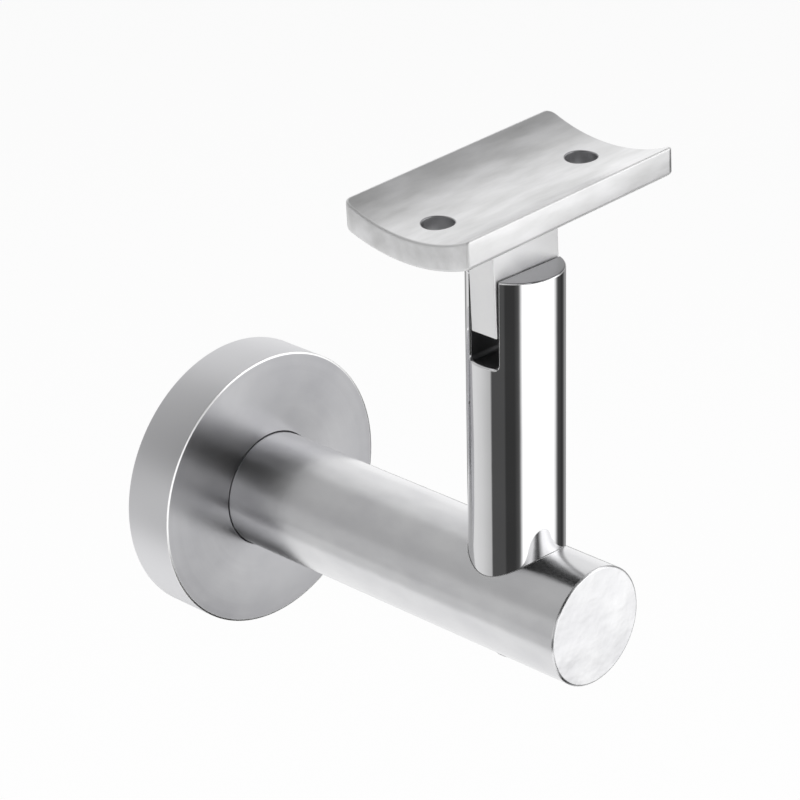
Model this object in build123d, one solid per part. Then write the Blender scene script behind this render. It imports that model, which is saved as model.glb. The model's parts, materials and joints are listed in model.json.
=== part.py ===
from build123d import *
from math import hypot, sqrt
import os

# Wall bracket for a handrail, in stainless steel.
# A round arm stands straight out from a plate on the wall, and a turned rose covers the plate.
# A post is let into the top of the arm, and its slotted head holds the tongue of a curved
# saddle. The rail lies on the saddle and is screwed to it from below. The saddle tilts about
# the pivot screw to follow a stair, and the rose slides out along the arm to reach the plate.
#
# The origin is the centre of the wall side, with the wall in the XZ plane.
# The arm runs along -Y, the rail along X and the post along +Z. Sizes are in millimetres.

# Arm
arm_diameter = 25.8
arm_reach = 107.3           # wall to end face
arm_edge = 0.35             # chamfer at both ends

# Post
post_diameter = 20.0
post_inset = 21.5           # post axis to the arm's end face
post_top = 73.0             # arm axis to the top of the post
post_seat_depth = 7.4       # how deep the foot stands in the arm's crown
post_edge = 0.25            # chamfer at the top
slot_edge = 0.4             # chamfer along the slot's mouths
slot_width = 7.4
slot_corner = 1.0           # rounding along both sides of the slot's floor
pivot_depth = 7.0           # post top to pivot axis

# Saddle
seat_radius = 38.3          # hollow face that the rail lies on
saddle_length = 59.4
saddle_width = 33.3
saddle_thickness = 5.4
saddle_height = 23.1        # pivot axis to the lowest line of the hollow face
saddle_edge = 0.5           # chamfer along the plate's outer edges
saddle_corner = 2.0         # rounded corners in plan
square_corner = 0.7         # the corner at the front left is left almost square
rail_hole_diameter = 6.5
rail_hole_pitch = 41.0
rail_sink_diameter = 10.0   # countersinks on the underside
tongue_width = 18.8
tongue_drop = 4.8           # pivot axis to the tongue's lower edge
tongue_root = 0.8           # rounding where the tongue meets the saddle
tilt_shown = 2.7            # degrees, with the +X end raised

# Wall plate
arm_seat_depth = 1.0        # shallow seat for the arm's end
plate_land = 0.9            # steel left under the head of the arm screw
wall_hole_count = 3
wall_hole_diameter = 5.5
wall_sink_diameter = 10.4

# Rose
rose_diameter = 62.0
rose_wall = 2.0
rose_front = 4.6            # thickness of the front, round the ring's groove
rose_edge = 0.6             # chamfer at the front edge

# Square-cut rubber ring in the rose
ring_height = 1.5
ring_width = 1.8
groove_width = 2.2

# Screws and pin
arm_screw_diameter = 8.0
arm_screw_head = 16.0
arm_screw_length = 20.0
arm_screw_key = 5.0
post_screw_diameter = 6.0
post_screw_head = 10.0
post_screw_head_height = 6.0
post_screw_key = 5.0
post_screw_grip = 12.0      # thread in the foot of the post
pivot_screw_diameter = 5.0
pivot_screw_head = 10.0
pivot_screw_key = 3.0
pin_diameter = 3.0
pin_in_plate = 2.5
pin_in_arm = 5.0
head_land = 0.3             # straight rim of a countersunk head
key_depth = 2.2
screw_tip = 0.5             # chamfer at the end of a screw or pin

# Clearances
thread_gap = 0.03           # between a shank and its hole, all round
turning_gap = 0.05          # between pivot screw and tongue, and between ring and arm
seat_gap = 0.05             # between arm and plate seat, and between post and arm
head_gap = 0.2              # round a screw head in its recess
tongue_gap = 0.3            # each side of the tongue in the slot
floor_gap = 1.05            # between the tongue's swinging corners and the slot's floor
rose_gap = 0.3              # rose to arm, and rose to wall plate
rose_room = 1.4             # wall plate to the inside of the rose's front
head_sunk = 0.3             # heads lie this far under the surface round them
screw_end_room = 1.5        # free depth past the end of a screw in a blind hole
pin_end_room = 0.5          # free depth past the end of the pin in the arm
blind_skin = 2.2            # steel left in front of the pivot screw's blind hole
near = 0.01                 # for picking edges by place
on_base = (Align.CENTER, Align.CENTER, Align.MIN)

# Worked out from the sizes above
arm_radius = arm_diameter / 2
post_radius = post_diameter / 2
post_reach = arm_reach - post_inset
foot_height = arm_radius - post_seat_depth
pivot_height = post_top - pivot_depth
slot_floor = pivot_height - hypot(tongue_width / 2, tongue_drop) - floor_gap
tongue_thickness = slot_width - 2 * tongue_gap
arm_screw_head_height = (arm_screw_head - arm_screw_diameter) / 2 + head_land
seat_face = head_sunk + arm_screw_head_height + plate_land
plate_thickness = seat_face + arm_seat_depth
plate_radius = rose_diameter / 2 - rose_wall - rose_gap
wall_hole_circle = arm_radius + plate_radius
rose_depth = plate_thickness + rose_room + rose_front
pin_offset = (arm_screw_diameter / 2 + arm_radius) / 2
post_screw_face = head_sunk - arm_radius
post_screw_shoulder = post_screw_face + post_screw_head_height
pivot_screw_face = sqrt(post_radius**2 - (pivot_screw_head / 2) ** 2) - head_sunk
pivot_screw_end = post_radius - blind_skin - pin_end_room


def turned(corners, axis=Axis.Y):
    """Solid of revolution from (radius, height) corners, about Y or Z."""
    plane = Plane.XY if axis == Axis.Y else Plane.XZ
    return revolve(make_face(plane * Polyline(corners, close=True)), axis)


def round_bar(radius, low, high):
    """Upright round bar on the Z axis between two heights."""
    return Pos(0, 0, low) * Cylinder(radius, high - low, align=on_base)


def along_arm(shape, distance, height=0.0):
    """Turns a shape made on Z so that its +Z end faces the wall, at a distance from the wall."""
    return Pos(0, -distance, height) * Rot(-90, 0, 0) * shape


def key_recess(key, depth):
    """Hexagonal recess for a key, cut down from z = 0."""
    return extrude(RegularPolygon(key / 2, 6, major_radius=False), -depth)


def sunk_screw(diameter, head, length, key):
    """Countersunk screw on Z: the head's face lies at z = 0 and the shank points down."""
    cone_end = -head_land - (head - diameter) / 2
    body = turned(
        [
            (0, 0),
            (head / 2, 0),
            (head / 2, -head_land),
            (diameter / 2, cone_end),
            (diameter / 2, screw_tip - length),
            (diameter / 2 - screw_tip, -length),
            (0, -length),
        ],
        Axis.Z,
    )
    return body - key_recess(key, key_depth)


def sunk_hole(diameter, head, gap, depth, mouth):
    """Hole for a countersunk screw: cone, shank and a straight mouth above z = 0."""
    radius = diameter / 2 + gap
    head_radius = head / 2 + gap
    cone_end = -head_land - (head - diameter) / 2
    return turned(
        [
            (0, mouth),
            (head_radius, mouth),
            (head_radius, -head_land),
            (radius, cone_end),
            (radius, -depth),
            (0, -depth),
        ],
        Axis.Z,
    )


def plain_sunk_hole(diameter, sink, depth):
    """Hole up from z = 0 for a bought screw: the cone is widest at z = 0 and runs on a little past it."""
    radius = diameter / 2
    wide = sink / 2
    corners = [(0, -near), (wide + near, -near), (radius, wide - radius), (radius, depth), (0, depth)]
    return turned(corners, Axis.Z)


def make_arm():
    """Solid bar with a tapped hole and a pin hole towards the wall, and a socket for the post."""
    length = arm_reach - seat_face
    bar = along_arm(chamfer(Cylinder(arm_radius, length).edges(), arm_edge), seat_face + length / 2)
    thread_depth = head_sunk + arm_screw_length - seat_face + screw_end_room
    thread = round_bar(arm_screw_diameter / 2 + thread_gap, -thread_depth, 0)
    bar -= along_arm(thread, seat_face)
    pin_hole = round_bar(pin_diameter / 2 + thread_gap, -pin_in_arm - pin_end_room, 0)
    bar -= along_arm(pin_hole, seat_face, pin_offset)
    post_line = Pos(0, -post_reach, 0)
    bar -= post_line * round_bar(post_radius + seat_gap, foot_height, arm_diameter)
    bar -= post_line * round_bar(post_screw_head / 2 + head_gap, -arm_diameter, post_screw_shoulder)
    bar -= post_line * round_bar(post_screw_diameter / 2 + head_gap, -arm_radius, arm_radius)
    return bar


def make_post():
    """Round post with a slotted head, a pivot hole across both ears and a tapped foot."""
    bar = round_bar(post_radius, foot_height, post_top)
    bar = chamfer(bar.edges().group_by(Axis.Z)[-1], post_edge)
    slot = Pos(0, 0, slot_floor) * Box(post_diameter * 2, slot_width, post_top, align=on_base)
    slot = fillet(slot.edges().filter_by(Axis.X).group_by(Axis.Z)[0], slot_corner)
    bar -= slot
    mouths = [
        edge
        for edge in bar.edges()
        if abs(edge.center().Y) <= slot_width / 2 + near
        and slot_floor - near <= edge.center().Z < post_top - post_edge
        and hypot(edge.position_at(0).X, edge.position_at(0).Y) > post_radius - near
        and hypot(edge.position_at(0.5).X, edge.position_at(0.5).Y) > post_radius - near
    ]
    bar = chamfer(mouths, slot_edge)
    thread_depth = post_screw_grip + screw_end_room
    bar -= round_bar(post_screw_diameter / 2 + thread_gap, foot_height, foot_height + thread_depth)
    hole_depth = pivot_screw_face + post_radius - blind_skin
    pivot_hole = sunk_hole(pivot_screw_diameter, pivot_screw_head, thread_gap, hole_depth, post_radius)
    bar -= Pos(0, pivot_screw_face, pivot_height) * Rot(-90, 0, 0) * pivot_hole
    return Pos(0, -post_reach, 0) * bar


def make_saddle():
    """Curved rail plate with two countersunk holes, on a flat tongue that turns on the pivot screw."""
    plan = Rectangle(saddle_length, saddle_width)
    front_left = plan.vertices().sort_by(lambda corner: corner.X + corner.Y)[0]
    others = [corner for corner in plan.vertices() if corner != front_left]
    plan = fillet(others, saddle_corner)
    front_left = plan.vertices().sort_by(lambda corner: corner.X + corner.Y)[0]
    plan = fillet(front_left, square_corner)
    centre = saddle_height + seat_radius
    under_radius = seat_radius + saddle_thickness
    rail_line = Pos(0, 0, centre) * Rot(0, 90, 0)
    block = extrude(plan, centre)
    plate = block & (rail_line * Cylinder(under_radius, saddle_length * 2))
    plate -= rail_line * Cylinder(seat_radius, saddle_length * 2)
    rims = plate.edges() - plate.edges().filter_by(Axis.Z)
    plate = chamfer(rims, saddle_edge)

    under = centre - under_radius
    tongue_height = tongue_drop + under + saddle_thickness / 2
    tongue = Box(tongue_width, tongue_thickness, tongue_height, align=on_base)
    body = plate + Pos(0, 0, -tongue_drop) * tongue
    root = [
        edge
        for edge in body.edges()
        if abs(edge.center().X) <= tongue_width / 2 + near
        and abs(edge.center().Y) <= tongue_thickness / 2 + near
        and abs(edge.center().Z - under) < saddle_thickness / 4
    ]
    body = fillet(root, tongue_root)

    hole = plain_sunk_hole(rail_hole_diameter, rail_sink_diameter, saddle_thickness * 2)
    for side in (-1, 1):
        body -= Pos(side * rail_hole_pitch / 2, 0, under) * hole
    body -= Rot(90, 0, 0) * Cylinder(pivot_screw_diameter / 2 + turning_gap, slot_width * 2)
    return Pos(0, -post_reach, pivot_height) * Rot(0, -tilt_shown, 0) * body


def make_wall_plate():
    """Round plate: a seat for the arm in front, a countersink for the arm screw behind."""
    plate = turned(
        [
            (0, 0),
            (plate_radius, 0),
            (plate_radius, -plate_thickness),
            (arm_radius + seat_gap, -plate_thickness),
            (arm_radius + seat_gap, -seat_face),
            (0, -seat_face),
        ]
    )
    screw_hole = sunk_hole(arm_screw_diameter, arm_screw_head, thread_gap, plate_thickness, head_sunk)
    plate -= along_arm(screw_hole, head_sunk)
    plate -= along_arm(round_bar(pin_diameter / 2 + thread_gap, 0, pin_in_plate), seat_face, pin_offset)
    wall_hole = plain_sunk_hole(wall_hole_diameter, wall_sink_diameter, plate_thickness * 2)
    for number in range(wall_hole_count):
        turn = Rot(0, 360 / wall_hole_count * number, 0)
        plate -= turn * along_arm(wall_hole, plate_thickness, wall_hole_circle / 2)
    return plate


def make_rose():
    """Turned cover: a rim round the wall plate, and a thick front with a groove in its bore."""
    outside = rose_diameter / 2
    inside = outside - rose_wall
    bore = arm_radius + rose_gap
    groove = arm_radius + turning_gap + ring_height
    middle = rose_depth - rose_front / 2
    return turned(
        [
            (bore, rose_front - rose_depth),
            (inside, rose_front - rose_depth),
            (inside, 0),
            (outside, 0),
            (outside, rose_edge - rose_depth),
            (outside - rose_edge, -rose_depth),
            (bore, -rose_depth),
            (bore, -middle - groove_width / 2),
            (groove, -middle - groove_width / 2),
            (groove, -middle + groove_width / 2),
            (bore, -middle + groove_width / 2),
        ]
    )


def make_cover_ring():
    """Square-cut rubber ring between the arm and the floor of the rose's groove."""
    radius = arm_radius + turning_gap + ring_height / 2
    middle = rose_depth - rose_front / 2
    return revolve(Pos(radius, -middle) * Rectangle(ring_height, ring_width), Axis.Y)


def make_post_screw():
    """Socket-head screw from below, through the arm into the foot of the post."""
    head = post_screw_head / 2
    shank = post_screw_diameter / 2
    end = foot_height + post_screw_grip
    screw = turned(
        [
            (0, post_screw_face),
            (head, post_screw_face),
            (head, post_screw_shoulder),
            (shank, post_screw_shoulder),
            (shank, end - screw_tip),
            (shank - screw_tip, end),
            (0, end),
        ],
        Axis.Z,
    )
    screw -= Pos(0, 0, post_screw_face) * key_recess(post_screw_key, -post_screw_head_height / 2)
    return Pos(0, -post_reach, 0) * screw


def make_arm_screw():
    """Countersunk screw through the wall plate into the arm."""
    screw = sunk_screw(arm_screw_diameter, arm_screw_head, arm_screw_length, arm_screw_key)
    return along_arm(screw, head_sunk)


def make_pivot_screw():
    """Countersunk screw from the wall side through both ears of the post and the tongue between them."""
    length = pivot_screw_face + pivot_screw_end
    screw = sunk_screw(pivot_screw_diameter, pivot_screw_head, length, pivot_screw_key)
    return along_arm(screw, post_reach - pivot_screw_face, pivot_height)


def make_locating_pin():
    """Plain pin, half in the wall plate and half in the arm, that stops the arm from turning."""
    length = pin_in_plate + pin_in_arm
    pin = chamfer(Cylinder(pin_diameter / 2, length).edges(), screw_tip)
    return along_arm(pin, seat_face - pin_in_plate + length / 2, pin_offset)


parts = {
    "wall_plate": make_wall_plate(),
    "arm_screw": make_arm_screw(),
    "locating_pin": make_locating_pin(),
    "wall_cover": make_rose(),
    "cover_ring": make_cover_ring(),
    "arm": make_arm(),
    "post": make_post(),
    "post_screw": make_post_screw(),
    "pivot_screw": make_pivot_screw(),
    "saddle": make_saddle(),
}

os.makedirs("parts", exist_ok=True)
for name, shape in parts.items():
    export_step(shape, f"parts/{name}.step")
    size = shape.bounding_box().size
    print(f"{name}: {shape.volume:.0f} mm3, {size.X:.1f} x {size.Y:.1f} x {size.Z:.1f} mm")
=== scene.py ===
# %% [markdown]
# # A handrail bracket in stainless steel
#
# The bracket stands out from a wall and carries a handrail from below. It has a turned rose, a
# thick round arm, a polished post and a curved saddle that the rail is screwed to. All of it is
# stainless steel, so what tells the pieces apart is how each one was finished: the post is
# polished like a mirror, the arm and the saddle are brushed, and the rose was ground on a lathe.
#
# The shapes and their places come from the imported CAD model, which nothing here moves. This
# script gives the pieces their finishes, makes the rose and the saddle again with edges that
# catch the light, and paints the white tent that the steel reflects.

import bmesh
import bpy
import json
from math import cos, pi, radians, sin, sqrt
from mathutils import Matrix, Vector


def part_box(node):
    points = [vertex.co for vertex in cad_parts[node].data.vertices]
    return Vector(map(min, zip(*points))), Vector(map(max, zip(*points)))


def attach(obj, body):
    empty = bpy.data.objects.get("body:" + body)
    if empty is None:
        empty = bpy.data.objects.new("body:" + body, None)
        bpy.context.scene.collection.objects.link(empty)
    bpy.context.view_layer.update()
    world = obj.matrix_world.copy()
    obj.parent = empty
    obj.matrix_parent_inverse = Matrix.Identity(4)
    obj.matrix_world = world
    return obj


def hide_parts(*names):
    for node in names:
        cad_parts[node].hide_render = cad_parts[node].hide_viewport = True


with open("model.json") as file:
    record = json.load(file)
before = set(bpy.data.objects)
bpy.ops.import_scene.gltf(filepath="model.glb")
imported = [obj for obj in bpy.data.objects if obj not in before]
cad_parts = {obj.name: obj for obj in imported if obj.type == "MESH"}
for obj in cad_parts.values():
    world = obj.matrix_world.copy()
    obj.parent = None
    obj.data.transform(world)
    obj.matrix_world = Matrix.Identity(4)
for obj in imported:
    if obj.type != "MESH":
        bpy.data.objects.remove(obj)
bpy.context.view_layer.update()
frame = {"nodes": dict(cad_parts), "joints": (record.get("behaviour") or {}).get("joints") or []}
nodes = frame["nodes"]
MM = 0.001
print("pieces:", ", ".join(sorted(nodes)))

# %% [markdown]
# ## The camera
#
# The photo was taken with a long lens from the left and from above, so the far end of the arm
# looks only a little smaller than the near end. A 150 mm lens on a 36 mm wide sensor sees about
# 14 degrees. The camera also leans over by about one degree. Its place was found by matching
# the outlines of the rose, the arm and the post.

# %% Camera
LENS_MM = 150.0
SENSOR_MM = 36.0
CAMERA_AZIMUTH = -44.947
CAMERA_ELEVATION = 24.593
CAMERA_ROLL = -1.261
CAMERA_DISTANCE = 695.4 * MM
# the point that the middle of the picture looks at
AIM = Vector((1.415, -51.463, 32.654)) * MM


def camera_axes(azimuth, elevation, roll):
    """Right, up and backward directions of a camera, from angles in degrees."""
    a, e, r = radians(azimuth), radians(elevation), radians(roll)
    back = Vector((sin(a) * cos(e), -cos(a) * cos(e), sin(e)))
    level = Vector((cos(a), sin(a), 0))
    right = level * cos(r) + back.cross(level) * sin(r)
    return right, back.cross(right), back


right, up, back = camera_axes(CAMERA_AZIMUTH, CAMERA_ELEVATION, CAMERA_ROLL)
camera_data = bpy.data.cameras.new("camera")
camera_data.lens = LENS_MM
camera_data.sensor_width = SENSOR_MM
camera = bpy.data.objects.new("camera", camera_data)
bpy.context.scene.collection.objects.link(camera)
turn = Matrix((right, up, back)).transposed().to_4x4()
camera.matrix_world = Matrix.Translation(AIM + back * CAMERA_DISTANCE) @ turn
bpy.context.scene.camera = camera
print("camera at", [round(value / MM) for value in camera.location], "mm")

# %% [markdown]
# ## Colours and nodes
#
# A colour is written as the hex code that a paint program shows, and one function turns it into
# the linear light that Blender works with. A second function adds a node with its settings and
# links, so that a tree reads from top to bottom.
#
# A Mix node has sockets for numbers and sockets for colours that share their names, so these
# are found by their number in the node's list.

# %% Helpers for colours and nodes
def linear(code):
    """Linear RGBA of an sRGB colour such as #b8b8ba."""
    channels = [int(code[place : place + 2], 16) / 255 for place in (1, 3, 5)]
    return [c / 12.92 if c < 0.04045 else ((c + 0.055) / 1.055) ** 2.4 for c in channels] + [1.0]


def add_node(tree, kind, inputs=None, **settings):
    """Adds a node with its settings. Each input gets a value or another node's output."""
    node = tree.nodes.new(kind)
    for name, value in settings.items():
        setattr(node, name, value)
    for name, value in (inputs or {}).items():
        if isinstance(value, bpy.types.NodeSocket):
            tree.links.new(value, node.inputs[name])
        else:
            node.inputs[name].default_value = value
    return node


# the sockets of a Mix node: A and B, and what comes out
NUMBER_A, NUMBER_B, NUMBER_OUT = 2, 3, 0
COLOUR_A, COLOUR_B, COLOUR_OUT = 6, 7, 2
print("#808080 is", round(linear("#808080")[0], 3), "in linear light")

# %% [markdown]
# ## The white tent
#
# Polished steel has no look of its own: it shows what stands round it. The bracket was
# photographed in a white tent with dark gaps, and each gap is an upright dark band on the post.
# A tent can be built from cards, but cards would stand in the way of other views. So the tent is
# painted on the world instead, as rings of light and dark round the bracket.
#
# An angle of 0 is towards the camera and 90 is to the picture's right. The camera looks down by
# 25 degrees, so every upright face mirrors the ring that lies 25 degrees below the horizon. The
# post's bands are set there, and what faces up doesn't see them. The rings above the horizon are
# dark on the camera's side, where the photographer stands: that is the dark place on the rose
# and on the arm beside it.

# %% The tent's rings, as (angle in degrees, brightness)
# far below the horizon, where the table is: the undersides mirror it
TABLE_RING = [
    (-180, 1.05), (-60, 1.00), (0, 1.30), (30, 0.60), (48, 0.03), (120, 0.03), (150, 0.80),
    (180, 1.05),
]
# a little below the horizon: upright faces mirror it
LOW_RING = [
    (-180, 0.30), (-158, 0.35), (-152, 0.66), (-147, 0.86), (-110, 0.86), (-90, 0.78), (-64, 0.57),
    (-61, 0.09), (-30, 0.09), (-26, 0.045), (-6, 0.045), (3, 0.09), (6, 0.20), (13, 1.42),
    (94, 1.42), (101, 0.90), (106, 0.30), (111, 0.08), (130, 0.04), (134, 0.06), (141, 0.18),
    (148, 0.34), (164, 0.36), (180, 0.30),
]
# round the horizon: the arm's side mirrors it
HORIZON_RING = [
    (-180, 1.20), (-150, 1.10), (-118, 0.66), (-100, 0.58), (-82, 0.60), (-62, 1.00),
    (-30, 0.90), (-18, 0.45), (6, 0.45), (12, 1.45), (107, 1.45), (122, 0.35),
    (150, 0.50), (168, 1.15), (180, 1.20),
]
# above the horizon: the arm's shoulder and its top mirror it
HIGH_RING = [
    (-180, 1.05), (-150, 1.05), (-118, 0.64), (-100, 0.55), (-75, 0.52), (-60, 0.04),
    (34, 0.02), (56, 2.00), (105, 2.00), (125, 0.35), (150, 0.50), (168, 1.00), (180, 1.05),
]
# overhead: the arm mirrors it between its top and its shoulder
TOP_RING = [
    (-180, 0.90), (-150, 0.80), (-128, 0.57), (-70, 0.55), (-50, 0.04), (72, 0.03), (95, 0.60),
    (120, 0.30), (155, 0.38), (180, 0.90),
]
# each ring above the first, with the elevations in degrees between which it takes over
RINGS = [(LOW_RING, -36, -28), (HORIZON_RING, -19.5, -12), (HIGH_RING, 8, 20), (TOP_RING, 32, 46)]
print("the ring that the post mirrors has", len(LOW_RING), "stops")

# %% One ring of the tent
def ring_of_light(tree, angle, stops):
    """A band of brightness round the bracket, from (degrees, brightness) stops.

    The ramp runs from 0 to 1 for -180 to 180 degrees. New stops start in its middle and move.
    """
    ramp = add_node(tree, "ShaderNodeValToRGB", {"Fac": angle})
    elements = ramp.color_ramp.elements
    while len(elements) < len(stops):
        elements.new(0.5)
    for element, (degrees, level) in zip(elements, stops):
        element.position = degrees / 360 + 0.5
        element.color = (level, level, level, 1)
    return ramp.outputs["Color"]


print("the brightest place in the tent is", max(level for _, level in HIGH_RING))

# %% Paint the tent on the world
world = bpy.data.worlds.new("white tent")
bpy.context.scene.world = world
world.use_nodes = True
tree = world.node_tree
tree.nodes.clear()
direction = add_node(tree, "ShaderNodeTexCoord")
# turned so that +X points to the camera and +Y to the picture's right
turned = add_node(
    tree,
    "ShaderNodeVectorRotate",
    {"Vector": direction.outputs["Generated"], "Angle": radians(90 - CAMERA_AZIMUTH)},
    rotation_type="Z_AXIS",
)
split = add_node(tree, "ShaderNodeSeparateXYZ", {"Vector": turned.outputs["Vector"]})
around = add_node(
    tree, "ShaderNodeMath", {0: split.outputs["Y"], 1: split.outputs["X"]}, operation="ARCTAN2"
)
angle = add_node(
    tree, "ShaderNodeMapRange", {"Value": around.outputs[0], "From Min": -pi, "From Max": pi}
)
light = ring_of_light(tree, angle.outputs["Result"], TABLE_RING)
for stops, low, high in RINGS:
    height = add_node(
        tree,
        "ShaderNodeMapRange",
        {"Value": split.outputs["Z"], "From Min": sin(radians(low)), "From Max": sin(radians(high))},
        interpolation_type="SMOOTHSTEP",
    )
    light = add_node(
        tree,
        "ShaderNodeMix",
        {
            "Factor": height.outputs["Result"],
            COLOUR_A: light,
            COLOUR_B: ring_of_light(tree, angle.outputs["Result"], stops),
        },
        data_type="RGBA",
    ).outputs[COLOUR_OUT]
print("tent painted with", 1 + len(RINGS), "rings")

# %% [markdown]
# ## The background
#
# Behind the bracket the photo is plain white. The camera sees a white world, and a white floor
# lies well below the bracket. To the camera the floor is partly a plain white sheet that gives
# off its own light, so it stays white and still keeps a faint shadow. The steel sees the tent.

# %% White world
tent = add_node(tree, "ShaderNodeBackground", {"Color": light})
plain = add_node(tree, "ShaderNodeBackground", {"Color": linear("#ffffff")})
path = add_node(tree, "ShaderNodeLightPath")
seen = add_node(
    tree,
    "ShaderNodeMixShader",
    {0: path.outputs["Is Camera Ray"], 1: tent.outputs[0], 2: plain.outputs[0]},
)
add_node(tree, "ShaderNodeOutputWorld", {"Surface": seen.outputs[0]})
print("the camera sees plain white, the steel sees the tent")

# %% Floor
FLOOR_BELOW = 200 * MM
FLOOR_RADIUS = 3.0
# how much of the floor the camera sees as the white sheet
SHEET_SHARE = 0.85
bpy.ops.mesh.primitive_circle_add(
    vertices=96, radius=FLOOR_RADIUS, fill_type="NGON", location=(0, 0, -FLOOR_BELOW)
)
floor = bpy.context.object
floor.name = "floor"
floor.visible_glossy = False
paint = bpy.data.materials.new("white_floor_paper")
paint.use_nodes = True
tree = paint.node_tree
tree.nodes.clear()
paper = add_node(tree, "ShaderNodeBsdfDiffuse", {"Color": linear("#ffffff")})
sheet = add_node(tree, "ShaderNodeEmission", {"Color": linear("#ffffff")})
path = add_node(tree, "ShaderNodeLightPath")
share = add_node(
    tree, "ShaderNodeMath", {0: path.outputs["Is Camera Ray"], 1: SHEET_SHARE}, operation="MULTIPLY"
)
white = add_node(
    tree, "ShaderNodeMixShader", {0: share.outputs[0], 1: paper.outputs[0], 2: sheet.outputs[0]}
)
# from below the floor is clear, so that views from underneath see the bracket
clear = add_node(tree, "ShaderNodeBsdfTransparent")
side = add_node(tree, "ShaderNodeNewGeometry")
both = add_node(
    tree,
    "ShaderNodeMixShader",
    {0: side.outputs["Backfacing"], 1: white.outputs[0], 2: clear.outputs[0]},
)
add_node(tree, "ShaderNodeOutputMaterial", {"Surface": both.outputs[0]})
floor.data.materials.append(paint)
print("floor", round(FLOOR_BELOW / MM), "mm below the middle of the rose")

# %% [markdown]
# ## The softbox
#
# One large lamp above lights the floor and the rubber. Steel reflects the tent and not this
# lamp, so the lamp is hidden from it.

# %% Softbox and view
SOFTBOX_WATTS = 15.0
SOFTBOX_SIZE = 1.4
SOFTBOX_PLACE = Vector((-0.3, -0.4, 1.3))
lamp_data = bpy.data.lights.new("softbox", "AREA")
lamp_data.energy = SOFTBOX_WATTS
lamp_data.size = SOFTBOX_SIZE
lamp = bpy.data.objects.new("softbox", lamp_data)
bpy.context.scene.collection.objects.link(lamp)
lamp.location = SOFTBOX_PLACE
lamp.rotation_euler = (-SOFTBOX_PLACE).to_track_quat("-Z", "Y").to_euler()
lamp.visible_glossy = False
bpy.context.scene.view_settings.view_transform = "Standard"
print("softbox of", SOFTBOX_WATTS, "watts,", SOFTBOX_SIZE, "m wide")

# %% [markdown]
# ## The rose
#
# The rose is the round cover at the wall. It was turned on a lathe, and its front edge was
# broken with a file, which left a narrow slope all round; its material paints that slope with a
# bright highlight. A turned part is a drawn half section that goes once round an axis, which
# suits Geometry Nodes: the section is a closed line of corners, Fillet Curve takes the sharpness
# off each corner, and Curve to Mesh sweeps the line round a circle. The sizes stay open as inputs.
#
# The bore is 0.15 mm closer to the arm all round than in the CAD model, whose rose needs play to
# slide. That makes the seam between the two a thin dark line.

# %% The rose's half section
rose_low, rose_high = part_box("wall_cover")
ROSE_RADIUS = rose_high[0]
ROSE_FRONT = rose_low[1]
ROSE_WALL = 2.0 * MM
ROSE_FRONT_THICKNESS = 4.6 * MM
BORE_RADIUS = 13.05 * MM
# the filed front edge slopes back by about 20 degrees
EDGE_WIDTH = 0.4 * MM
EDGE_DEPTH = 0.15 * MM
# the rubber ring sits in a groove in the bore
GROOVE_RADIUS = 14.45 * MM
GROOVE_HALF_WIDTH = 1.1 * MM
# the section is swept round a circle of this radius
SWEEP_RADIUS = 20.0 * MM
groove_middle = ROSE_FRONT + ROSE_FRONT_THICKNESS / 2
# corners as (radius, place along the arm, share of the rounding)
SECTION = [
    (BORE_RADIUS, ROSE_FRONT + ROSE_FRONT_THICKNESS, 0.3),
    (ROSE_RADIUS - ROSE_WALL, ROSE_FRONT + ROSE_FRONT_THICKNESS, 0.6),
    (ROSE_RADIUS - ROSE_WALL, 0.0, 0.2),
    (ROSE_RADIUS, 0.0, 0.4),
    (ROSE_RADIUS, ROSE_FRONT + EDGE_DEPTH, 0.2),
    (ROSE_RADIUS - EDGE_WIDTH, ROSE_FRONT, 0.2),
    (BORE_RADIUS, ROSE_FRONT, 0.2),
    (BORE_RADIUS, groove_middle - GROOVE_HALF_WIDTH, 0.2),
    (GROOVE_RADIUS, groove_middle - GROOVE_HALF_WIDTH, 0.1),
    (GROOVE_RADIUS, groove_middle + GROOVE_HALF_WIDTH, 0.1),
    (BORE_RADIUS, groove_middle + GROOVE_HALF_WIDTH, 0.2),
]
section = bmesh.new()
share_layer = section.verts.layers.float.new("rounding")
corners = []
for radius, along, share in SECTION:
    corner = section.verts.new((radius - SWEEP_RADIUS, along, 0))
    corner[share_layer] = share
    corners.append(corner)
for start, end in zip(corners, corners[1:] + corners[:1]):
    section.edges.new((start, end))
section_mesh = bpy.data.meshes.new("rose_section")
section.to_mesh(section_mesh)
section.free()
print("section with", len(SECTION), "corners, rose", round(2 * ROSE_RADIUS / MM, 1), "mm across")

# %% The lathe's inputs
lathe = bpy.data.node_groups.new("lathe", "GeometryNodeTree")
lathe.is_modifier = True
lathe.interface.new_socket("Geometry", in_out="OUTPUT", socket_type="NodeSocketGeometry")
lathe.interface.new_socket("Geometry", in_out="INPUT", socket_type="NodeSocketGeometry")
# an edge that turns by more than this stays sharp
SHARP_ABOVE = radians(35)
LATHE_SIZES = {
    "Rounding": ("NodeSocketFloat", 0.75 * MM),
    "Steps in a corner": ("NodeSocketInt", 6),
    "Sweep radius": ("NodeSocketFloat", SWEEP_RADIUS),
    "Steps round": ("NodeSocketInt", 180),
    "Sharp above": ("NodeSocketFloat", SHARP_ABOVE),
}
for name, (kind, value) in LATHE_SIZES.items():
    lathe.interface.new_socket(name, in_out="INPUT", socket_type=kind)
lathe.interface.new_socket("Steel", in_out="INPUT", socket_type="NodeSocketMaterial")
print("lathe with the inputs", ", ".join(LATHE_SIZES))

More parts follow.
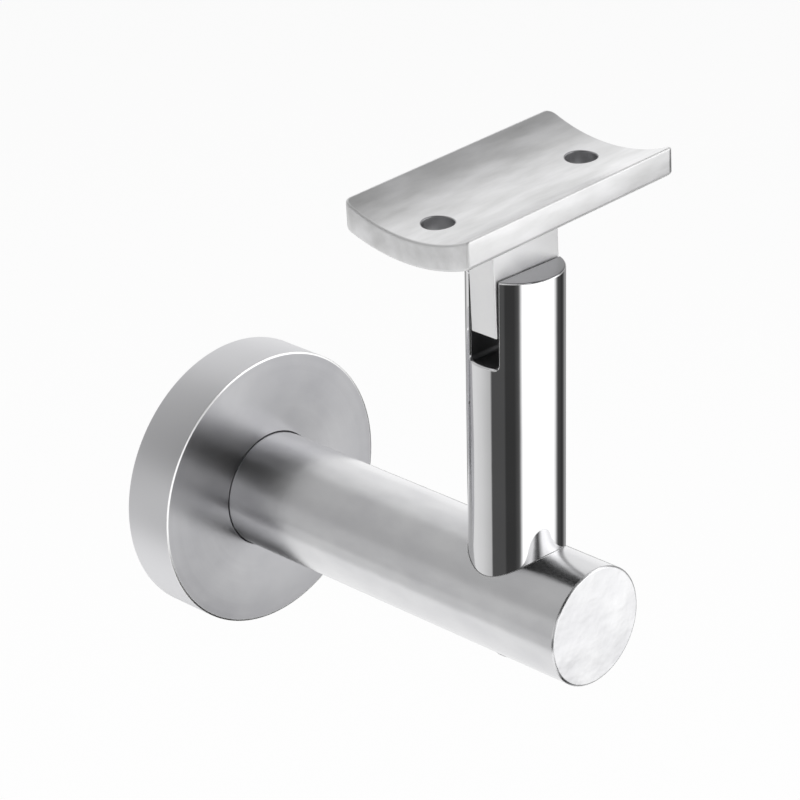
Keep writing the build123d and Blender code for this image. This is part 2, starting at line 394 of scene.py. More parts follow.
# %% The lathe's nodes
given = add_node(lathe, "NodeGroupInput").outputs
line = add_node(lathe, "GeometryNodeMeshToCurve", {"Mesh": given["Geometry"]})
share = add_node(lathe, "GeometryNodeInputNamedAttribute", {"Name": "rounding"}, data_type="FLOAT")
filed = add_node(
    lathe, "ShaderNodeMath", {0: share.outputs[0], 1: given["Rounding"]}, operation="MULTIPLY"
)
soft_line = add_node(
    lathe,
    "GeometryNodeFilletCurve",
    {
        "Curve": line.outputs[0],
        "Count": given["Steps in a corner"],
        "Radius": filed.outputs[0],
        "Limit Radius": True,
    },
    mode="POLY",
)
circle = add_node(
    lathe,
    "GeometryNodeCurvePrimitiveCircle",
    {"Resolution": given["Steps round"], "Radius": given["Sweep radius"]},
)
swept = add_node(
    lathe,
    "GeometryNodeCurveToMesh",
    {"Curve": circle.outputs[0], "Profile Curve": soft_line.outputs[0]},
)
# the sweep goes round Z, and the arm's line is Y
laid = add_node(
    lathe, "GeometryNodeTransform", {"Geometry": swept.outputs[0], "Rotation": (pi / 2, 0, 0)}
)
print("the sweep takes", len(lathe.nodes), "nodes")

# %% Smooth faces and sharp corners on the lathe
bend = add_node(lathe, "GeometryNodeInputMeshEdgeAngle")
smooth_edge = add_node(
    lathe, "FunctionNodeCompare", {0: bend.outputs[0], 1: given["Sharp above"]}, operation="LESS_THAN"
)
smooth_face = add_node(
    lathe, "GeometryNodeSetShadeSmooth", {0: laid.outputs[0], "Shade Smooth": True}, domain="FACE"
)
smooth = add_node(
    lathe,
    "GeometryNodeSetShadeSmooth",
    {0: smooth_face.outputs[0], "Shade Smooth": smooth_edge.outputs[0]},
    domain="EDGE",
)
real = add_node(lathe, "GeometryNodeRealizeInstances", {0: smooth.outputs[0]})
dressed = add_node(
    lathe, "GeometryNodeSetMaterial", {"Geometry": real.outputs[0], "Material": given["Steel"]}
)
add_node(lathe, "NodeGroupOutput", {"Geometry": dressed.outputs[0]})
print("lathe tree with", len(lathe.nodes), "nodes")

# %% [markdown]
# ## Steel finishes
#
# All the metal is stainless steel, a grey metal with nearly no colour. Its surface is never
# quite even: brushing leaves fine lines, and grinding by hand leaves wide shallow waves that
# make the edge of a reflection waver. Both are noise patterns that push the normal about. The
# edges get a mask of their own, because they are rubbed in handling. On a CAD piece a Bevel node
# finds them: it bends the normal near an edge, and where that differs from the true normal is
# an edge. The pieces that are made here bring their own mask.

# %% An empty material
def new_material(name):
    """An empty node material, its tree, and the place of each point on the piece."""
    material = bpy.data.materials.new(name)
    material.use_nodes = True
    tree = material.node_tree
    tree.nodes.clear()
    return material, tree, add_node(tree, "ShaderNodeTexCoord").outputs["Object"]


print("materials read the place on the piece in metres")

# %% The worked surface that all finishes share
# how well the bent normal matches the true one, off an edge and on it
MATCH_OFF_EDGE = 0.99
MATCH_ON_EDGE = 0.90
EDGE_SAMPLES = 8
# waves are broad and cloudy, lines are plainer but rougher
WAVE_NOISE = {"Scale": 1.0, "Detail": 3.0, "Roughness": 0.5}
LINE_NOISE = {"Scale": 1.0, "Detail": 2.0, "Roughness": 0.6}


def worked_surface(
    tree, waves_at, wave_mm, wave_depth_mm, lines_at, lines_mm, line_depth_mm, edge_mm=0
):
    """Waves, brushed lines and rubbed edges: two patterns, an edge mask and a normal.

    The waves' size, and the lines', is given along X, Y and Z of the place they are drawn at.
    """
    normal = add_node(tree, "ShaderNodeNewGeometry").outputs["Normal"]
    surface = {"rubbed": 0.0}
    if edge_mm:
        edge = add_node(tree, "ShaderNodeBevel", {"Radius": edge_mm * MM}, samples=EDGE_SAMPLES)
        match = add_node(
            tree, "ShaderNodeVectorMath", {0: edge.outputs[0], 1: normal}, operation="DOT_PRODUCT"
        )
        rubbed = add_node(
            tree,
            "ShaderNodeMapRange",
            {"Value": match.outputs["Value"], "From Min": MATCH_OFF_EDGE, "From Max": MATCH_ON_EDGE},
        )
        surface["rubbed"] = rubbed.outputs["Result"]
        normal = edge.outputs[0]
    for name, place, sizes, depth_mm, noise in (
        ("waves", waves_at, wave_mm, wave_depth_mm, WAVE_NOISE),
        ("lines", lines_at, lines_mm, line_depth_mm, LINE_NOISE),
    ):
        scaled = add_node(
            tree, "ShaderNodeMapping", {"Vector": place, "Scale": [1 / (size * MM) for size in sizes]}
        )
        pattern = add_node(tree, "ShaderNodeTexNoise", {"Vector": scaled.outputs[0], **noise})
        surface[name] = pattern.outputs["Fac"]
        normal = add_node(
            tree,
            "ShaderNodeBump",
            {
                "Height": surface[name],
                "Strength": 1.0,
                "Distance": depth_mm * MM,
                "Normal": normal,
            },
        ).outputs[0]
    surface["normal"] = normal
    return surface


print("a surface has waves, lines and rubbed edges")

# %% Bare steel
# a noise pattern hardly leaves this range
PATTERN_LOW = 0.3
PATTERN_HIGH = 0.7
# rubbed edges are this pale from wear, and the rose's filed edge is painted this pale as a highlight
RUBBED_AND_HIGHLIGHT_STEEL = "#f0f0f0"
# how much rougher an edge is where it's rubbed most
RUBBED_ROUGHNESS = 0.35


def steel(tree, surface, greys, roughness, by="waves", faces=(), grain=None):
    """Bare steel between two greys by its waves, paler and duller on rubbed edges.

    Its roughness lies between two values, by the waves or by the lines. Faces that were worked in
    another way, or that are painted with shade or a highlight, are given as (mask, grey, roughness),
    with None for what stays the same. The grain holds the shader's settings for brushing that runs one
    way.
    """
    shares = {}
    for use, name, (low, high) in (("grey", "waves", (0, 1)), ("roughness", by, roughness)):
        shares[use] = add_node(
            tree,
            "ShaderNodeMapRange",
            {
                "Value": surface[name],
                "From Min": PATTERN_LOW,
                "From Max": PATTERN_HIGH,
                "To Min": low,
                "To Max": high,
            },
        ).outputs["Result"]
    grey = add_node(
        tree,
        "ShaderNodeMix",
        {"Factor": shares["grey"], COLOUR_A: linear(greys[0]), COLOUR_B: linear(greys[1])},
        data_type="RGBA",
    ).outputs[COLOUR_OUT]
    rough = shares["roughness"]
    for mask, face_grey, face_roughness in ((surface["rubbed"], RUBBED_AND_HIGHLIGHT_STEEL, None), *faces):
        if face_grey is not None:
            grey = add_node(
                tree,
                "ShaderNodeMix",
                {"Factor": mask, COLOUR_A: grey, COLOUR_B: linear(face_grey)},
                data_type="RGBA",
            ).outputs[COLOUR_OUT]
        if face_roughness is not None:
            rough = add_node(
                tree,
                "ShaderNodeMix",
                {"Factor": mask, NUMBER_A: rough, NUMBER_B: face_roughness},
                data_type="FLOAT",
            ).outputs[NUMBER_OUT]
    duller = add_node(
        tree,
        "ShaderNodeMath",
        {0: surface["rubbed"], 1: RUBBED_ROUGHNESS, 2: rough},
        operation="MULTIPLY_ADD",
    )
    shader = add_node(
        tree,
        "ShaderNodeBsdfPrincipled",
        {
            "Base Color": grey,
            "Metallic": 1.0,
            "Roughness": duller.outputs[0],
            "Normal": surface["normal"],
            **(grain or {}),
        },
    )
    add_node(tree, "ShaderNodeOutputMaterial", {"Surface": shader.outputs["BSDF"]})


print("rubbed edges are", RUBBED_AND_HIGHLIGHT_STEEL, "in linear light", round(linear(RUBBED_AND_HIGHLIGHT_STEEL)[0], 3))

# %% [markdown]
# ### The arm
#
# The arm is bright-drawn bar, brushed round with a fine belt. It mirrors the tent's bands along
# its length, but their edges are soft and waver like watercolour. The end face was turned and
# is smoother. The real lines are about 0.1 mm apart, finer than a pixel of the photo, so here
# they are 0.5 mm apart and very shallow.
#
# The end face could have a material slot of its own, but the CAD mesh stays as it is, so the
# material tells the end face by its place.

# %% Brushed stainless arm
ARM_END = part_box("arm")[0][1]
END_ROUGHNESS = 0.12
# a point within this of a face's level counts as on that face
LEVEL_PLAY = 0.1 * MM
arm_finish, tree, place = new_material("brushed_stainless_arm")
surface = worked_surface(
    tree, waves_at=place, wave_mm=(8, 14, 8), wave_depth_mm=0.10,
    lines_at=place, lines_mm=(14, 0.5, 14), line_depth_mm=0.002, edge_mm=0.3,
)
along = add_node(tree, "ShaderNodeSeparateXYZ", {"Vector": place})
end_face = add_node(
    tree, "ShaderNodeMath", {0: along.outputs["Y"], 1: ARM_END + LEVEL_PLAY}, operation="LESS_THAN"
)
turned_round = add_node(tree, "ShaderNodeTangent", direction_type="RADIAL", axis="Y")
steel(
    tree, surface, greys=("#d2d2d4", "#e0e0e1"), roughness=(0.17, 0.23),
    faces=[(end_face.outputs[0], None, END_ROUGHNESS)],
    grain={"Anisotropic": 0.7, "Anisotropic Rotation": 0.25, "Tangent": turned_round.outputs[0]},
)
print("arm brushed, end face at", round(ARM_END / MM, 1), "mm")

# %% [markdown]
# ### The rose
#
# The rose was ground on the lathe with an abrasive cloth. Its rings are too fine to see one by
# one, so the rings drawn here are 0.7 mm apart and very shallow. Together they draw every
# reflection out towards the middle and the rim, which gives the front its light and dark
# sectors. A shader calls this anisotropic: it needs the direction of the rings, which the
# Tangent node gives round the arm's line. The rim was ground paler and duller than the front,
# and the filed edge between them is painted pale as a bright highlight line.

# %% Turned stainless rose
RIM_GREY = "#e2e2e4"
RIM_ROUGHNESS = 0.48
# the painted highlight is full within the first distance of the filed edge's middle and ends at the
# second
HIGHLIGHT_FULL = 0.2 * MM
HIGHLIGHT_OUT = 0.3 * MM
rose_finish, tree, place = new_material("turned_stainless_rose")
# the same place in the half section: X is the radius and Y runs along the arm
xyz = add_node(tree, "ShaderNodeSeparateXYZ", {"Vector": place})
flat = add_node(tree, "ShaderNodeCombineXYZ", {"X": xyz.outputs["X"], "Y": xyz.outputs["Z"]})
radius = add_node(tree, "ShaderNodeVectorMath", {0: flat.outputs[0]}, operation="LENGTH")
in_section = add_node(
    tree, "ShaderNodeCombineXYZ", {"X": radius.outputs["Value"], "Y": xyz.outputs["Y"]}
)
surface = worked_surface(
    tree, waves_at=place, wave_mm=(14, 14, 14), wave_depth_mm=0.06,
    lines_at=in_section.outputs[0], lines_mm=(0.7, 0.7, 1), line_depth_mm=0.0004,
)
rim = add_node(
    tree,
    "ShaderNodeMath",
    {0: xyz.outputs["Y"], 1: ROSE_FRONT + EDGE_DEPTH},
    operation="GREATER_THAN",
)
edge_middle = (ROSE_RADIUS - EDGE_WIDTH / 2, ROSE_FRONT + EDGE_DEPTH / 2, 0)
from_highlight_line = add_node(
    tree, "ShaderNodeVectorMath", {0: in_section.outputs[0], 1: edge_middle}, operation="DISTANCE"
)
painted_edge_highlight = add_node(
    tree,
    "ShaderNodeMapRange",
    {"Value": from_highlight_line.outputs["Value"], "From Min": HIGHLIGHT_OUT, "From Max": HIGHLIGHT_FULL},
)
turned_round = add_node(tree, "ShaderNodeTangent", direction_type="RADIAL", axis="Y")
steel(
    tree, surface, greys=("#a8a8ab", "#b6b6b8"), roughness=(0.28, 0.32), by="lines",
    faces=[
        (rim.outputs[0], RIM_GREY, RIM_ROUGHNESS),
        # the filed edge is painted pale here: a painted highlight line along the rim
        (painted_edge_highlight.outputs["Result"], RUBBED_AND_HIGHLIGHT_STEEL, None),
    ],
    grain={"Anisotropic": 0.65, "Anisotropic Rotation": 0.25, "Tangent": turned_round.outputs[0]},
)
print("rose turned, filed edge", round(EDGE_WIDTH / MM, 1), "mm wide")

# %% [markdown]
# ### The post
#
# The post is polished like a mirror, so the tent's bands are sharp on it and only their edges
# tremble a little: what polishing leaves are faint swells, 3 to 16 mm long. Its flat top was
# faced and lightly ground, and it is painted a darker grey as shade under the saddle. The slot in
# its head was milled and never polished, so it's dull, and it is painted dark as the shade inside
# it. As on the arm, the material tells these faces by their place.

# %% Polished stainless post
POST_LINE = -85.8 * MM
SLOT_WIDTH = 7.4 * MM
SLOT_FLOOR = 54.4 * MM
# the slot's walls lie within this of its own width
WALL_PLAY = 0.04 * MM
POST_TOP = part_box("post")[1][2]
# the slot is painted this dark grey as the shade inside it
SLOT_SHADE_GREY = "#747476"
SLOT_ROUGHNESS = 0.5
# the flat top is painted this darker grey as the shade under the saddle
TOP_SHADE_GREY = "#8a8a8c"
TOP_ROUGHNESS = 0.3
post_finish, tree, place = new_material("polished_stainless_post")
surface = worked_surface(
    tree, waves_at=place, wave_mm=(9, 9, 16), wave_depth_mm=0.02,
    lines_at=place, lines_mm=(3, 3, 9), line_depth_mm=0.0006, edge_mm=0.2,
)
xyz = add_node(tree, "ShaderNodeSeparateXYZ", {"Vector": place})
beside = add_node(
    tree,
    "ShaderNodeMath",
    {0: xyz.outputs["Y"], 1: POST_LINE, 2: SLOT_WIDTH / 2 + WALL_PLAY},
    operation="COMPARE",
)
above_floor, on_top = (
    add_node(
        tree, "ShaderNodeMath", {0: xyz.outputs["Z"], 1: level - LEVEL_PLAY}, operation="GREATER_THAN"
    ).outputs[0]
    for level in (SLOT_FLOOR, POST_TOP)
)
in_slot = add_node(
    tree, "ShaderNodeMath", {0: beside.outputs[0], 1: above_floor}, operation="MULTIPLY"
)
# the top and the slot get painted shade as darker greys
steel(
    tree, surface, greys=("#dededf", "#e4e4e5"), roughness=(0.03, 0.05),
    faces=[(on_top, TOP_SHADE_GREY, TOP_ROUGHNESS), (in_slot.outputs[0], SLOT_SHADE_GREY, SLOT_ROUGHNESS)],
)
print("post polished, slot", round(SLOT_WIDTH / MM, 1), "mm wide left as milled")

# %% [markdown]
# ### The saddle
#
# The saddle is a casting that was ground along its length, and so was the rail's hollow. The
# grinding left cloudy streaks that run with the rail. Its real lines are about 0.1 mm apart and
# are drawn 0.7 mm apart, so that they show. The walls of the drilled holes are dull and stay
# dark. The tongue was milled flat and rubbed dull, so it shows the tent as soft light only.

# %% Ground stainless saddle
saddle_finish, tree, place = new_material("ground_stainless_saddle")
surface = worked_surface(
    tree, waves_at=place, wave_mm=(13, 4, 4), wave_depth_mm=0.05,
    lines_at=place, lines_mm=(12, 0.7, 0.7), line_depth_mm=0.002,
)
# the saddle's mesh says where its edges are rubbed
rubbed = add_node(tree, "ShaderNodeAttribute", attribute_name="rubbed")
surface["rubbed"] = rubbed.outputs["Fac"]
along_rail = add_node(tree, "ShaderNodeCombineXYZ", {"X": 1.0})
steel(
    tree, surface, greys=("#cecece", "#e8e8e9"), roughness=(0.28, 0.34),
    grain={"Anisotropic": 0.3, "Anisotropic Rotation": 0.25, "Tangent": along_rail.outputs[0]},
)
print("saddle ground along the rail")

# %% Drilled holes and milled tongue
drilled_finish, tree, place = new_material("drilled_steel")
surface = worked_surface(
    tree, waves_at=place, wave_mm=(4, 4, 4), wave_depth_mm=0.02,
    lines_at=place, lines_mm=(3, 3, 0.5), line_depth_mm=0.01,
)
steel(tree, surface, greys=("#a2a2a4", "#b8b8ba"), roughness=(0.4, 0.55), by="lines")

tongue_finish, tree, place = new_material("milled_stainless_tongue")
surface = worked_surface(
    tree, waves_at=place, wave_mm=(9, 6, 6), wave_depth_mm=0.02,
    lines_at=place, lines_mm=(6, 0.8, 0.8), line_depth_mm=0.001,
)
steel(tree, surface, greys=("#eeeeef", "#f4f4f4"), roughness=(0.45, 0.52))
print("holes drilled, tongue milled")

# %% [markdown]
# ### Plate, screws and rubber
#
# These sit behind or below, but they show from the other sides and when the rose slides out.
# The plate was ground flat, which leaves straight scratches, drawn 0.5 mm apart to show. The
# screws are bright and nearly smooth. The ring is black rubber, so it's matt, with a little dust
# in its pores: those are drawn 0.5 mm apart too.

# %% Plate and screws
plate_finish, tree, place = new_material("ground_stainless_plate")
surface = worked_surface(
    tree, waves_at=place, wave_mm=(8, 8, 8), wave_depth_mm=0.05,
    lines_at=place, lines_mm=(9, 0.5, 0.5), line_depth_mm=0.003, edge_mm=0.3,
)
steel(tree, surface, greys=("#b8b8ba", "#c6c6c8"), roughness=(0.28, 0.4), by="lines")

screw_finish, tree, place = new_material("bright_steel_screw")
surface = worked_surface(
    tree, waves_at=place, wave_mm=(3, 3, 3), wave_depth_mm=0.01,
    lines_at=place, lines_mm=(1.2, 1.2, 1.2), line_depth_mm=0.003, edge_mm=0.25,
)
steel(tree, surface, greys=("#a8a8aa", "#bcbcbe"), roughness=(0.28, 0.36))
print("plate ground, screws bright")

# %% Rubber ring
SPECK_SIZE = 0.5 * MM
SPECK_HEIGHT = 0.02 * MM
RUBBER_ROUGHNESS = (0.55, 0.75)
ring_finish, tree, place = new_material("black_rubber_ring")
specks = add_node(
    tree, "ShaderNodeTexNoise", {"Vector": place, "Scale": 1 / SPECK_SIZE, "Detail": 2.0}
)
dust, roughness = (
    add_node(
        tree,
        "ShaderNodeMapRange",
        {
            "Value": specks.outputs["Fac"],
            "From Min": PATTERN_LOW,
            "From Max": PATTERN_HIGH,
            "To Min": low,
            "To Max": high,
        },
    ).outputs["Result"]
    for low, high in ((0, 1), RUBBER_ROUGHNESS)
)
dusty = add_node(
    tree,
    "ShaderNodeMix",
    {"Factor": dust, COLOUR_A: linear("#141416"), COLOUR_B: linear("#242427")},
    data_type="RGBA",
)
pores = add_node(
    tree,
    "ShaderNodeBump",
    {"Height": specks.outputs["Fac"], "Strength": 1.0, "Distance": SPECK_HEIGHT},
)
rubber = add_node(
    tree,
    "ShaderNodeBsdfPrincipled",
    {
        "Base Color": dusty.outputs[COLOUR_OUT],
        "Roughness": roughness,
        "Normal": pores.outputs[0],
    },
)
add_node(tree, "ShaderNodeOutputMaterial", {"Surface": rubber.outputs["BSDF"]})
print("rubber specks", round(SPECK_SIZE / MM, 1), "mm apart")

# %% Give each CAD piece its finish
FINISHES = {
    "arm": arm_finish,
    "wall_cover": rose_finish,
    "saddle": saddle_finish,
    "wall_plate": plate_finish,
    "post": post_finish,
    "arm_screw": screw_finish,
    "post_screw": screw_finish,
    "pivot_screw": screw_finish,
    "locating_pin": screw_finish,
    "cover_ring": ring_finish,
}
for name, finish in FINISHES.items():
    for slot in nodes[name].material_slots:
        slot.material = finish
print("finishes on", len(FINISHES), "pieces")

# %% [markdown]
# ## Turning the rose
#
# The lathe tree goes on the drawn section as a modifier, and its inputs are set by the sockets'
# identifiers. Blender works out the result once, which is kept as a plain mesh, because a plain
# mesh looks the same at every pose and exports as it stands. The rose then stands in for the CAD
# cover and slides with it.

# %% Turn the rose
def frozen(source, name):
    """A plain mesh object of what an object's modifiers make."""
    ready = source.evaluated_get(bpy.context.evaluated_depsgraph_get())
    mesh = bpy.data.meshes.new_from_object(ready)
    mesh.name = name
    piece = bpy.data.objects.new(name, mesh)
    bpy.context.scene.collection.objects.link(piece)
    return piece


blank = bpy.data.objects.new("rose_blank", section_mesh)
bpy.context.scene.collection.objects.link(blank)
turning = blank.modifiers.new("lathe", "NODES")
turning.node_group = lathe
for socket in lathe.interface.items_tree:
    if socket.in_out == "INPUT" and socket.name in LATHE_SIZES:
        turning[socket.identifier] = LATHE_SIZES[socket.name][1]
    elif socket.in_out == "INPUT" and socket.name == "Steel":
        turning[socket.identifier] = rose_finish
rose = frozen(blank, "turned_rose")
bpy.data.objects.remove(blank)
turned_mesh = bmesh.new()
turned_mesh.from_mesh(rose.data)
bmesh.ops.recalc_face_normals(turned_mesh, faces=turned_mesh.faces)
volume = turned_mesh.calc_volume(signed=True) / MM**3
print("rose:", len(turned_mesh.faces), "faces, volume", round(volume), "mm3")
turned_mesh.to_mesh(rose.data)
turned_mesh.free()
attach(rose, "rose")
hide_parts("wall_cover")

# %% [markdown]
# ## The saddle
#
# The saddle is a thick plate, hollowed along its length for a round rail, with two screw holes
# and a tongue below. Its edges are rounded by grinding, which a boolean with cylinders would
# leave sharp. So it starts flat: rings of one outline, each set in a little more, make a slab
# with round edges. Then the slab is bent by moving each point up or down by its place across.

# %% Outlines with round corners
# the quarters of an outline, in the order of its corners
QUARTERS = ((1, 1), (-1, 1), (-1, -1), (1, -1))
# a corner that is set in keeps at least this radius
LEAST_RADIUS = 0.05 * MM


def outline(length, width, radii, steps, inset):
    """A rectangle with round corners, set in all round, as points (x, y, rubbed).

    A corner that is sharper than the first one is rubbed most in its middle.
    """
    points = []
    for number, ((sx, sy), radius) in enumerate(zip(QUARTERS, radii)):
        x = sx * (length / 2 - radius)
        y = sy * (width / 2 - radius)
        reach = max(radius - inset, LEAST_RADIUS)
        lag = radius - inset - reach
        for step in range(steps + 1):
            turn = pi / 2 * (number + step / steps)
            rubbed = sin(pi * step / steps) if radius < radii[0] else 0.0
            points.append((x + reach * cos(turn) + sx * lag, y + reach * sin(turn) + sy * lag, rubbed))
    return points


print("round corners keep at least", LEAST_RADIUS / MM, "mm of radius")

# %% Outline of the saddle plate
SADDLE_LENGTH = 59.4 * MM
SADDLE_WIDTH = 33.3 * MM
# the front left corner is nearly square
CORNER_RADII = (2.0 * MM, 2.0 * MM, 0.7 * MM, 2.0 * MM)
CORNER_STEPS = 8


def plate_outline(inset):
    """The saddle plate's outline, set in all round."""
    return outline(SADDLE_LENGTH, SADDLE_WIDTH, CORNER_RADII, CORNER_STEPS, inset)


print("outline with", len(plate_outline(0)), "points")

# %% Rings and caps
# the saddle's finishes by their place in its list of materials
GROUND, DRILLED, MILLED = 0, 1, 2
CIRCLE_STEPS = 48


def ring(mesh, points, level, rubbed=0.0):
    """A closed ring of vertices at one level, which remember how rubbed the steel is there."""
    layer = mesh.verts.layers.float.get("rubbed") or mesh.verts.layers.float.new("rubbed")
    made = []
    for x, y, *corner in points:
        made.append(mesh.verts.new((x, y, level)))
        made[-1][layer] = max([rubbed] + corner)
    return made


def bridge(mesh, lower, upper, finish=GROUND):
    """A band of faces between two rings that run the same way."""
    for i, vertex in enumerate(lower):
        j = (i + 1) % len(lower)
        face = mesh.faces.new((vertex, lower[j], upper[j], upper[i]))
        face.material_index = finish


def cap(mesh, loops):
    """Fills the flat area between an outer ring and the holes in it."""
    edges = [mesh.edges.get((a, b)) for loop in loops for a, b in zip(loop, loop[1:] + loop[:1])]
    bmesh.ops.triangle_fill(mesh, edges=edges, use_beauty=True)


def circle_points(middle, radius):
    """Points round a circle at (middle, 0)."""
    turns = [2 * pi * step / CIRCLE_STEPS for step in range(CIRCLE_STEPS)]
    return [(middle + radius * cos(turn), radius * sin(turn)) for turn in turns]


print("holes have", len(circle_points(0, 1)), "points")

# %% The slab, as a flat plate from level 0 to 1
SADDLE_THICKNESS = 5.4 * MM
EDGE_ROUNDING = 0.6 * MM
EDGE_STEPS = 6
HOLE_RADIUS = 3.25 * MM
HOLE_PLACES = (-20.5 * MM, 20.5 * MM)
SINK_RADIUS = 5.0 * MM
HOLE_LIP = 0.25 * MM
slab = bmesh.new()
turns = [pi / 2 * step / EDGE_STEPS for step in range(EDGE_STEPS + 1)]
rounding_share = EDGE_ROUNDING / SADDLE_THICKNESS
levels = [(EDGE_ROUNDING * (1 - sin(t)), rounding_share * (1 - cos(t)), sin(2 * t)) for t in turns]
levels += [(EDGE_ROUNDING * (1 - cos(t)), 1 - rounding_share * (1 - sin(t)), sin(2 * t)) for t in turns]
rings = [ring(slab, plate_outline(inset), level, rubbed) for inset, level, rubbed in levels]
for lower, upper in zip(rings, rings[1:]):
    bridge(slab, lower, upper)
bottom_loops, top_loops = [rings[0]], [rings[-1]]
lip_share = HOLE_LIP / SADDLE_THICKNESS
sizes = [(SINK_RADIUS, 0.0), (HOLE_RADIUS, (SINK_RADIUS - HOLE_RADIUS) / SADDLE_THICKNESS)]
sizes += [(HOLE_RADIUS + HOLE_LIP * (1 - cos(t)), 1 - lip_share * (1 - sin(t))) for t in turns[::2]]
for middle in HOLE_PLACES:
    hole_rings = [ring(slab, circle_points(middle, radius), level) for radius, level in sizes]
    for lower, upper in zip(hole_rings, hole_rings[1:]):
        bridge(slab, upper, lower, DRILLED)
    bottom_loops.append(hole_rings[0])
    top_loops.append(hole_rings[-1])
cap(slab, bottom_loops)
cap(slab, top_loops)
print("slab with", len(slab.faces), "faces")

# %% Bend the slab
SEAT_RADIUS = 38.3 * MM
SEAT_HEIGHT = 23.1 * MM
STRIPS = 44
# a point this close to a cut lies on it, in metres
ON_CUT = 1e-7
for strip in range(1, STRIPS):
    across = SADDLE_WIDTH * (strip / STRIPS - 0.5)
    bmesh.ops.bisect_plane(
        slab,
        geom=slab.verts[:] + slab.edges[:] + slab.faces[:],
        dist=ON_CUT,
        plane_co=(0, across, 0),
        plane_no=(0, 1, 0),
    )
centre = SEAT_HEIGHT + SEAT_RADIUS
for vertex in slab.verts:
    y, share = vertex.co.y, vertex.co.z
    top = centre - sqrt(SEAT_RADIUS**2 - y**2)
    under = centre - sqrt((SEAT_RADIUS + SADDLE_THICKNESS) ** 2 - y**2)
    vertex.co.z = under + share * (top - under)
bmesh.ops.recalc_face_normals(slab, faces=slab.faces)
volume = slab.calc_volume(signed=True) / MM**3
open_edges = sum(len(edge.link_faces) != 2 for edge in slab.edges)
print("plate volume", round(volume), "mm3, open edges:", open_edges)

# %% [markdown]
# ## The saddle's tongue
#
# A flat tongue below the plate turns on the pivot screw in the post's slot. It's made of rings
# too: they widen softly where they meet the plate, as in the casting. The round hole for the
# pivot screw goes across the rings, so it's the one place where a boolean is simplest.

# %% Tongue
TONGUE_LENGTH = 18.8 * MM
TONGUE_THICKNESS = 6.8 * MM
TONGUE_DROP = 4.8 * MM
TONGUE_ROOT = 0.8 * MM
TONGUE_EDGE = 0.3 * MM
TONGUE_CORNER_STEPS = 4
# the foot is set in by this share of its edge, so that its corners don't close up
FOOT_SHARE = 0.7
# the root reaches this far into the plate
ROOT_SINK = 1.0 * MM


def tongue_outline(growth):
    """The tongue's outline, grown outwards."""
    return outline(TONGUE_LENGTH, TONGUE_THICKNESS, [TONGUE_EDGE] * 4, TONGUE_CORNER_STEPS, -growth)


under = SEAT_HEIGHT - SADDLE_THICKNESS
tongue = bmesh.new()
levels = [
    (-TONGUE_EDGE * FOOT_SHARE * (1 - sin(t)), -TONGUE_DROP + TONGUE_EDGE * (1 - cos(t))) for t in turns
]
levels += [(TONGUE_ROOT * (1 - cos(t)), under + TONGUE_ROOT * (sin(t) - 1)) for t in turns]
levels += [(TONGUE_ROOT, under + ROOT_SINK)]
rings = [ring(tongue, tongue_outline(growth), level) for growth, level in levels]
for lower, upper in zip(rings, rings[1:]):
    bridge(tongue, lower, upper)
cap(tongue, [rings[0]])
cap(tongue, [rings[-1]])
bmesh.ops.recalc_face_normals(tongue, faces=tongue.faces)
tongue_mesh = bpy.data.meshes.new("tongue_blank")
tongue.to_mesh(tongue_mesh)
tongue.free()
print("tongue of", len(rings), "rings")

# %% Drill the tongue for the pivot screw
PIVOT_HOLE_RADIUS = 2.55 * MM
drill = bmesh.new()
bmesh.ops.create_cone(
    drill,
    cap_ends=True,
    segments=CIRCLE_STEPS,
    radius1=PIVOT_HOLE_RADIUS,
    radius2=PIVOT_HOLE_RADIUS,
    depth=2 * TONGUE_THICKNESS,
    matrix=Matrix.Rotation(pi / 2, 4, "X"),
)
drill_mesh = bpy.data.meshes.new("pivot_drill")
drill.to_mesh(drill_mesh)
drill.free()
blank = bpy.data.objects.new("tongue_blank", tongue_mesh)
drill = bpy.data.objects.new("pivot_drill", drill_mesh)
for thing in (blank, drill):
    bpy.context.scene.collection.objects.link(thing)
cut = blank.modifiers.new("pivot hole", "BOOLEAN")
cut.operation = "DIFFERENCE"
cut.solver = "EXACT"
cut.object = drill
drilled = frozen(blank, "drilled_tongue")
for face in drilled.data.polygons:
    face.material_index = MILLED
for thing in (blank, drill):
    bpy.data.objects.remove(thing)
print("tongue with", len(drilled.data.polygons), "faces after drilling")

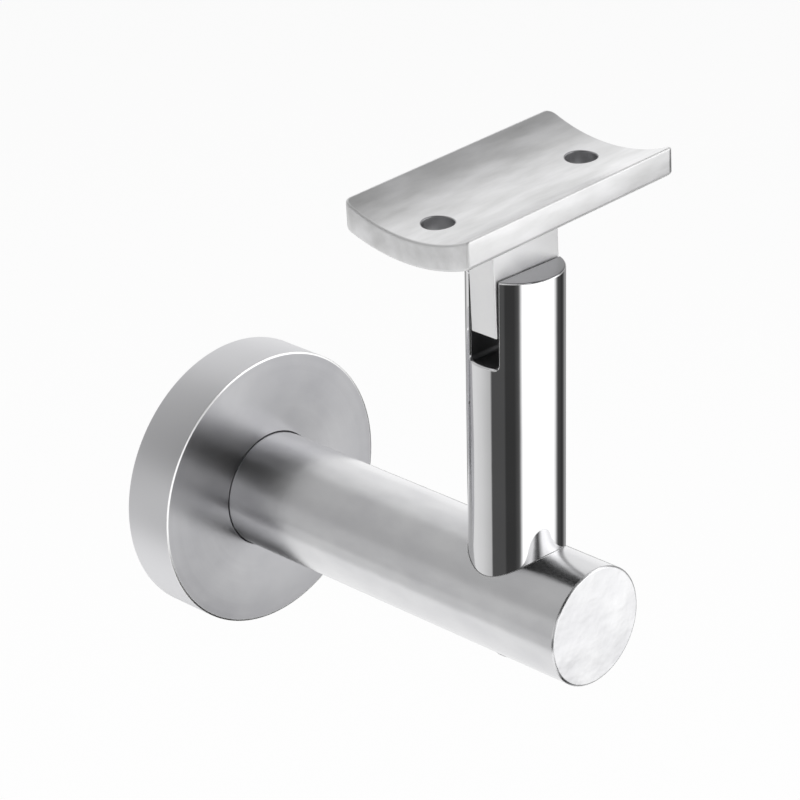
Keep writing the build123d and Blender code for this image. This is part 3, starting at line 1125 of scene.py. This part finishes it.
# %% [markdown]
# ## Joining the saddle
#
# The tongue's mesh is added to the plate's, and both are tilted about the pivot. Only sharp
# edges stay sharp. The hollow is made of flat strips, and the light of a smooth shader still
# wavers from strip to strip, so the points on the hollow and on the underside get the exact
# normal of the cylinder that they lie on.

# %% Put the saddle on its pivot
TILT = radians(2.7)
pivot = Vector(next(joint for joint in frame["joints"] if joint["name"] == "saddle_tilt")["pos_m"])
placement = Matrix.Translation(pivot) @ Matrix.Rotation(-TILT, 4, "Y")
slab.from_mesh(drilled.data)
slab.transform(placement)
for face in slab.faces:
    face.smooth = True
for edge in slab.edges:
    edge.smooth = edge.calc_face_angle(pi) < SHARP_ABOVE
saddle_mesh = bpy.data.meshes.new("curved_saddle")
slab.to_mesh(saddle_mesh)
slab.free()
bpy.data.objects.remove(drilled)
print("saddle tilted by", round(TILT / radians(1), 1), "degrees")

# %% Exact normals on the hollow and on the underside
# the two cylinders, by their radius and the side that their normals point to
HOLLOW = [(SEAT_RADIUS, 1), (SEAT_RADIUS + SADDLE_THICKNESS, -1)]
# a point this close to a cylinder lies on it
ON_CYLINDER = 0.001 * MM
placed_back = placement.inverted()
normals = [(0, 0, 0)] * len(saddle_mesh.loops)
for face in saddle_mesh.polygons:
    for index in face.loop_indices:
        point = placed_back @ saddle_mesh.vertices[saddle_mesh.loops[index].vertex_index].co
        to_axis = Vector((0, -point.y, centre - point.z))
        for radius, side in HOLLOW:
            normal = placement.to_3x3() @ (to_axis.normalized() * side)
            on_cylinder = abs(to_axis.length - radius) < ON_CYLINDER
            if on_cylinder and normal.dot(face.normal) > cos(SHARP_ABOVE):
                normals[index] = normal
saddle_mesh.normals_split_custom_set(normals)
exact = sum(Vector(normal).length > 0 for normal in normals)
print("exact normals at", exact, "of", len(normals), "face corners")

# %% Dress the saddle
for finish in (saddle_finish, drilled_finish, tongue_finish):
    saddle_mesh.materials.append(finish)
saddle = bpy.data.objects.new("curved_saddle", saddle_mesh)
bpy.context.scene.collection.objects.link(saddle)
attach(saddle, "head")
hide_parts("saddle")
pivot_mm = [round(value / MM, 1) for value in pivot]
print("saddle with", len(saddle_mesh.polygons), "faces on pivot", pivot_mm)
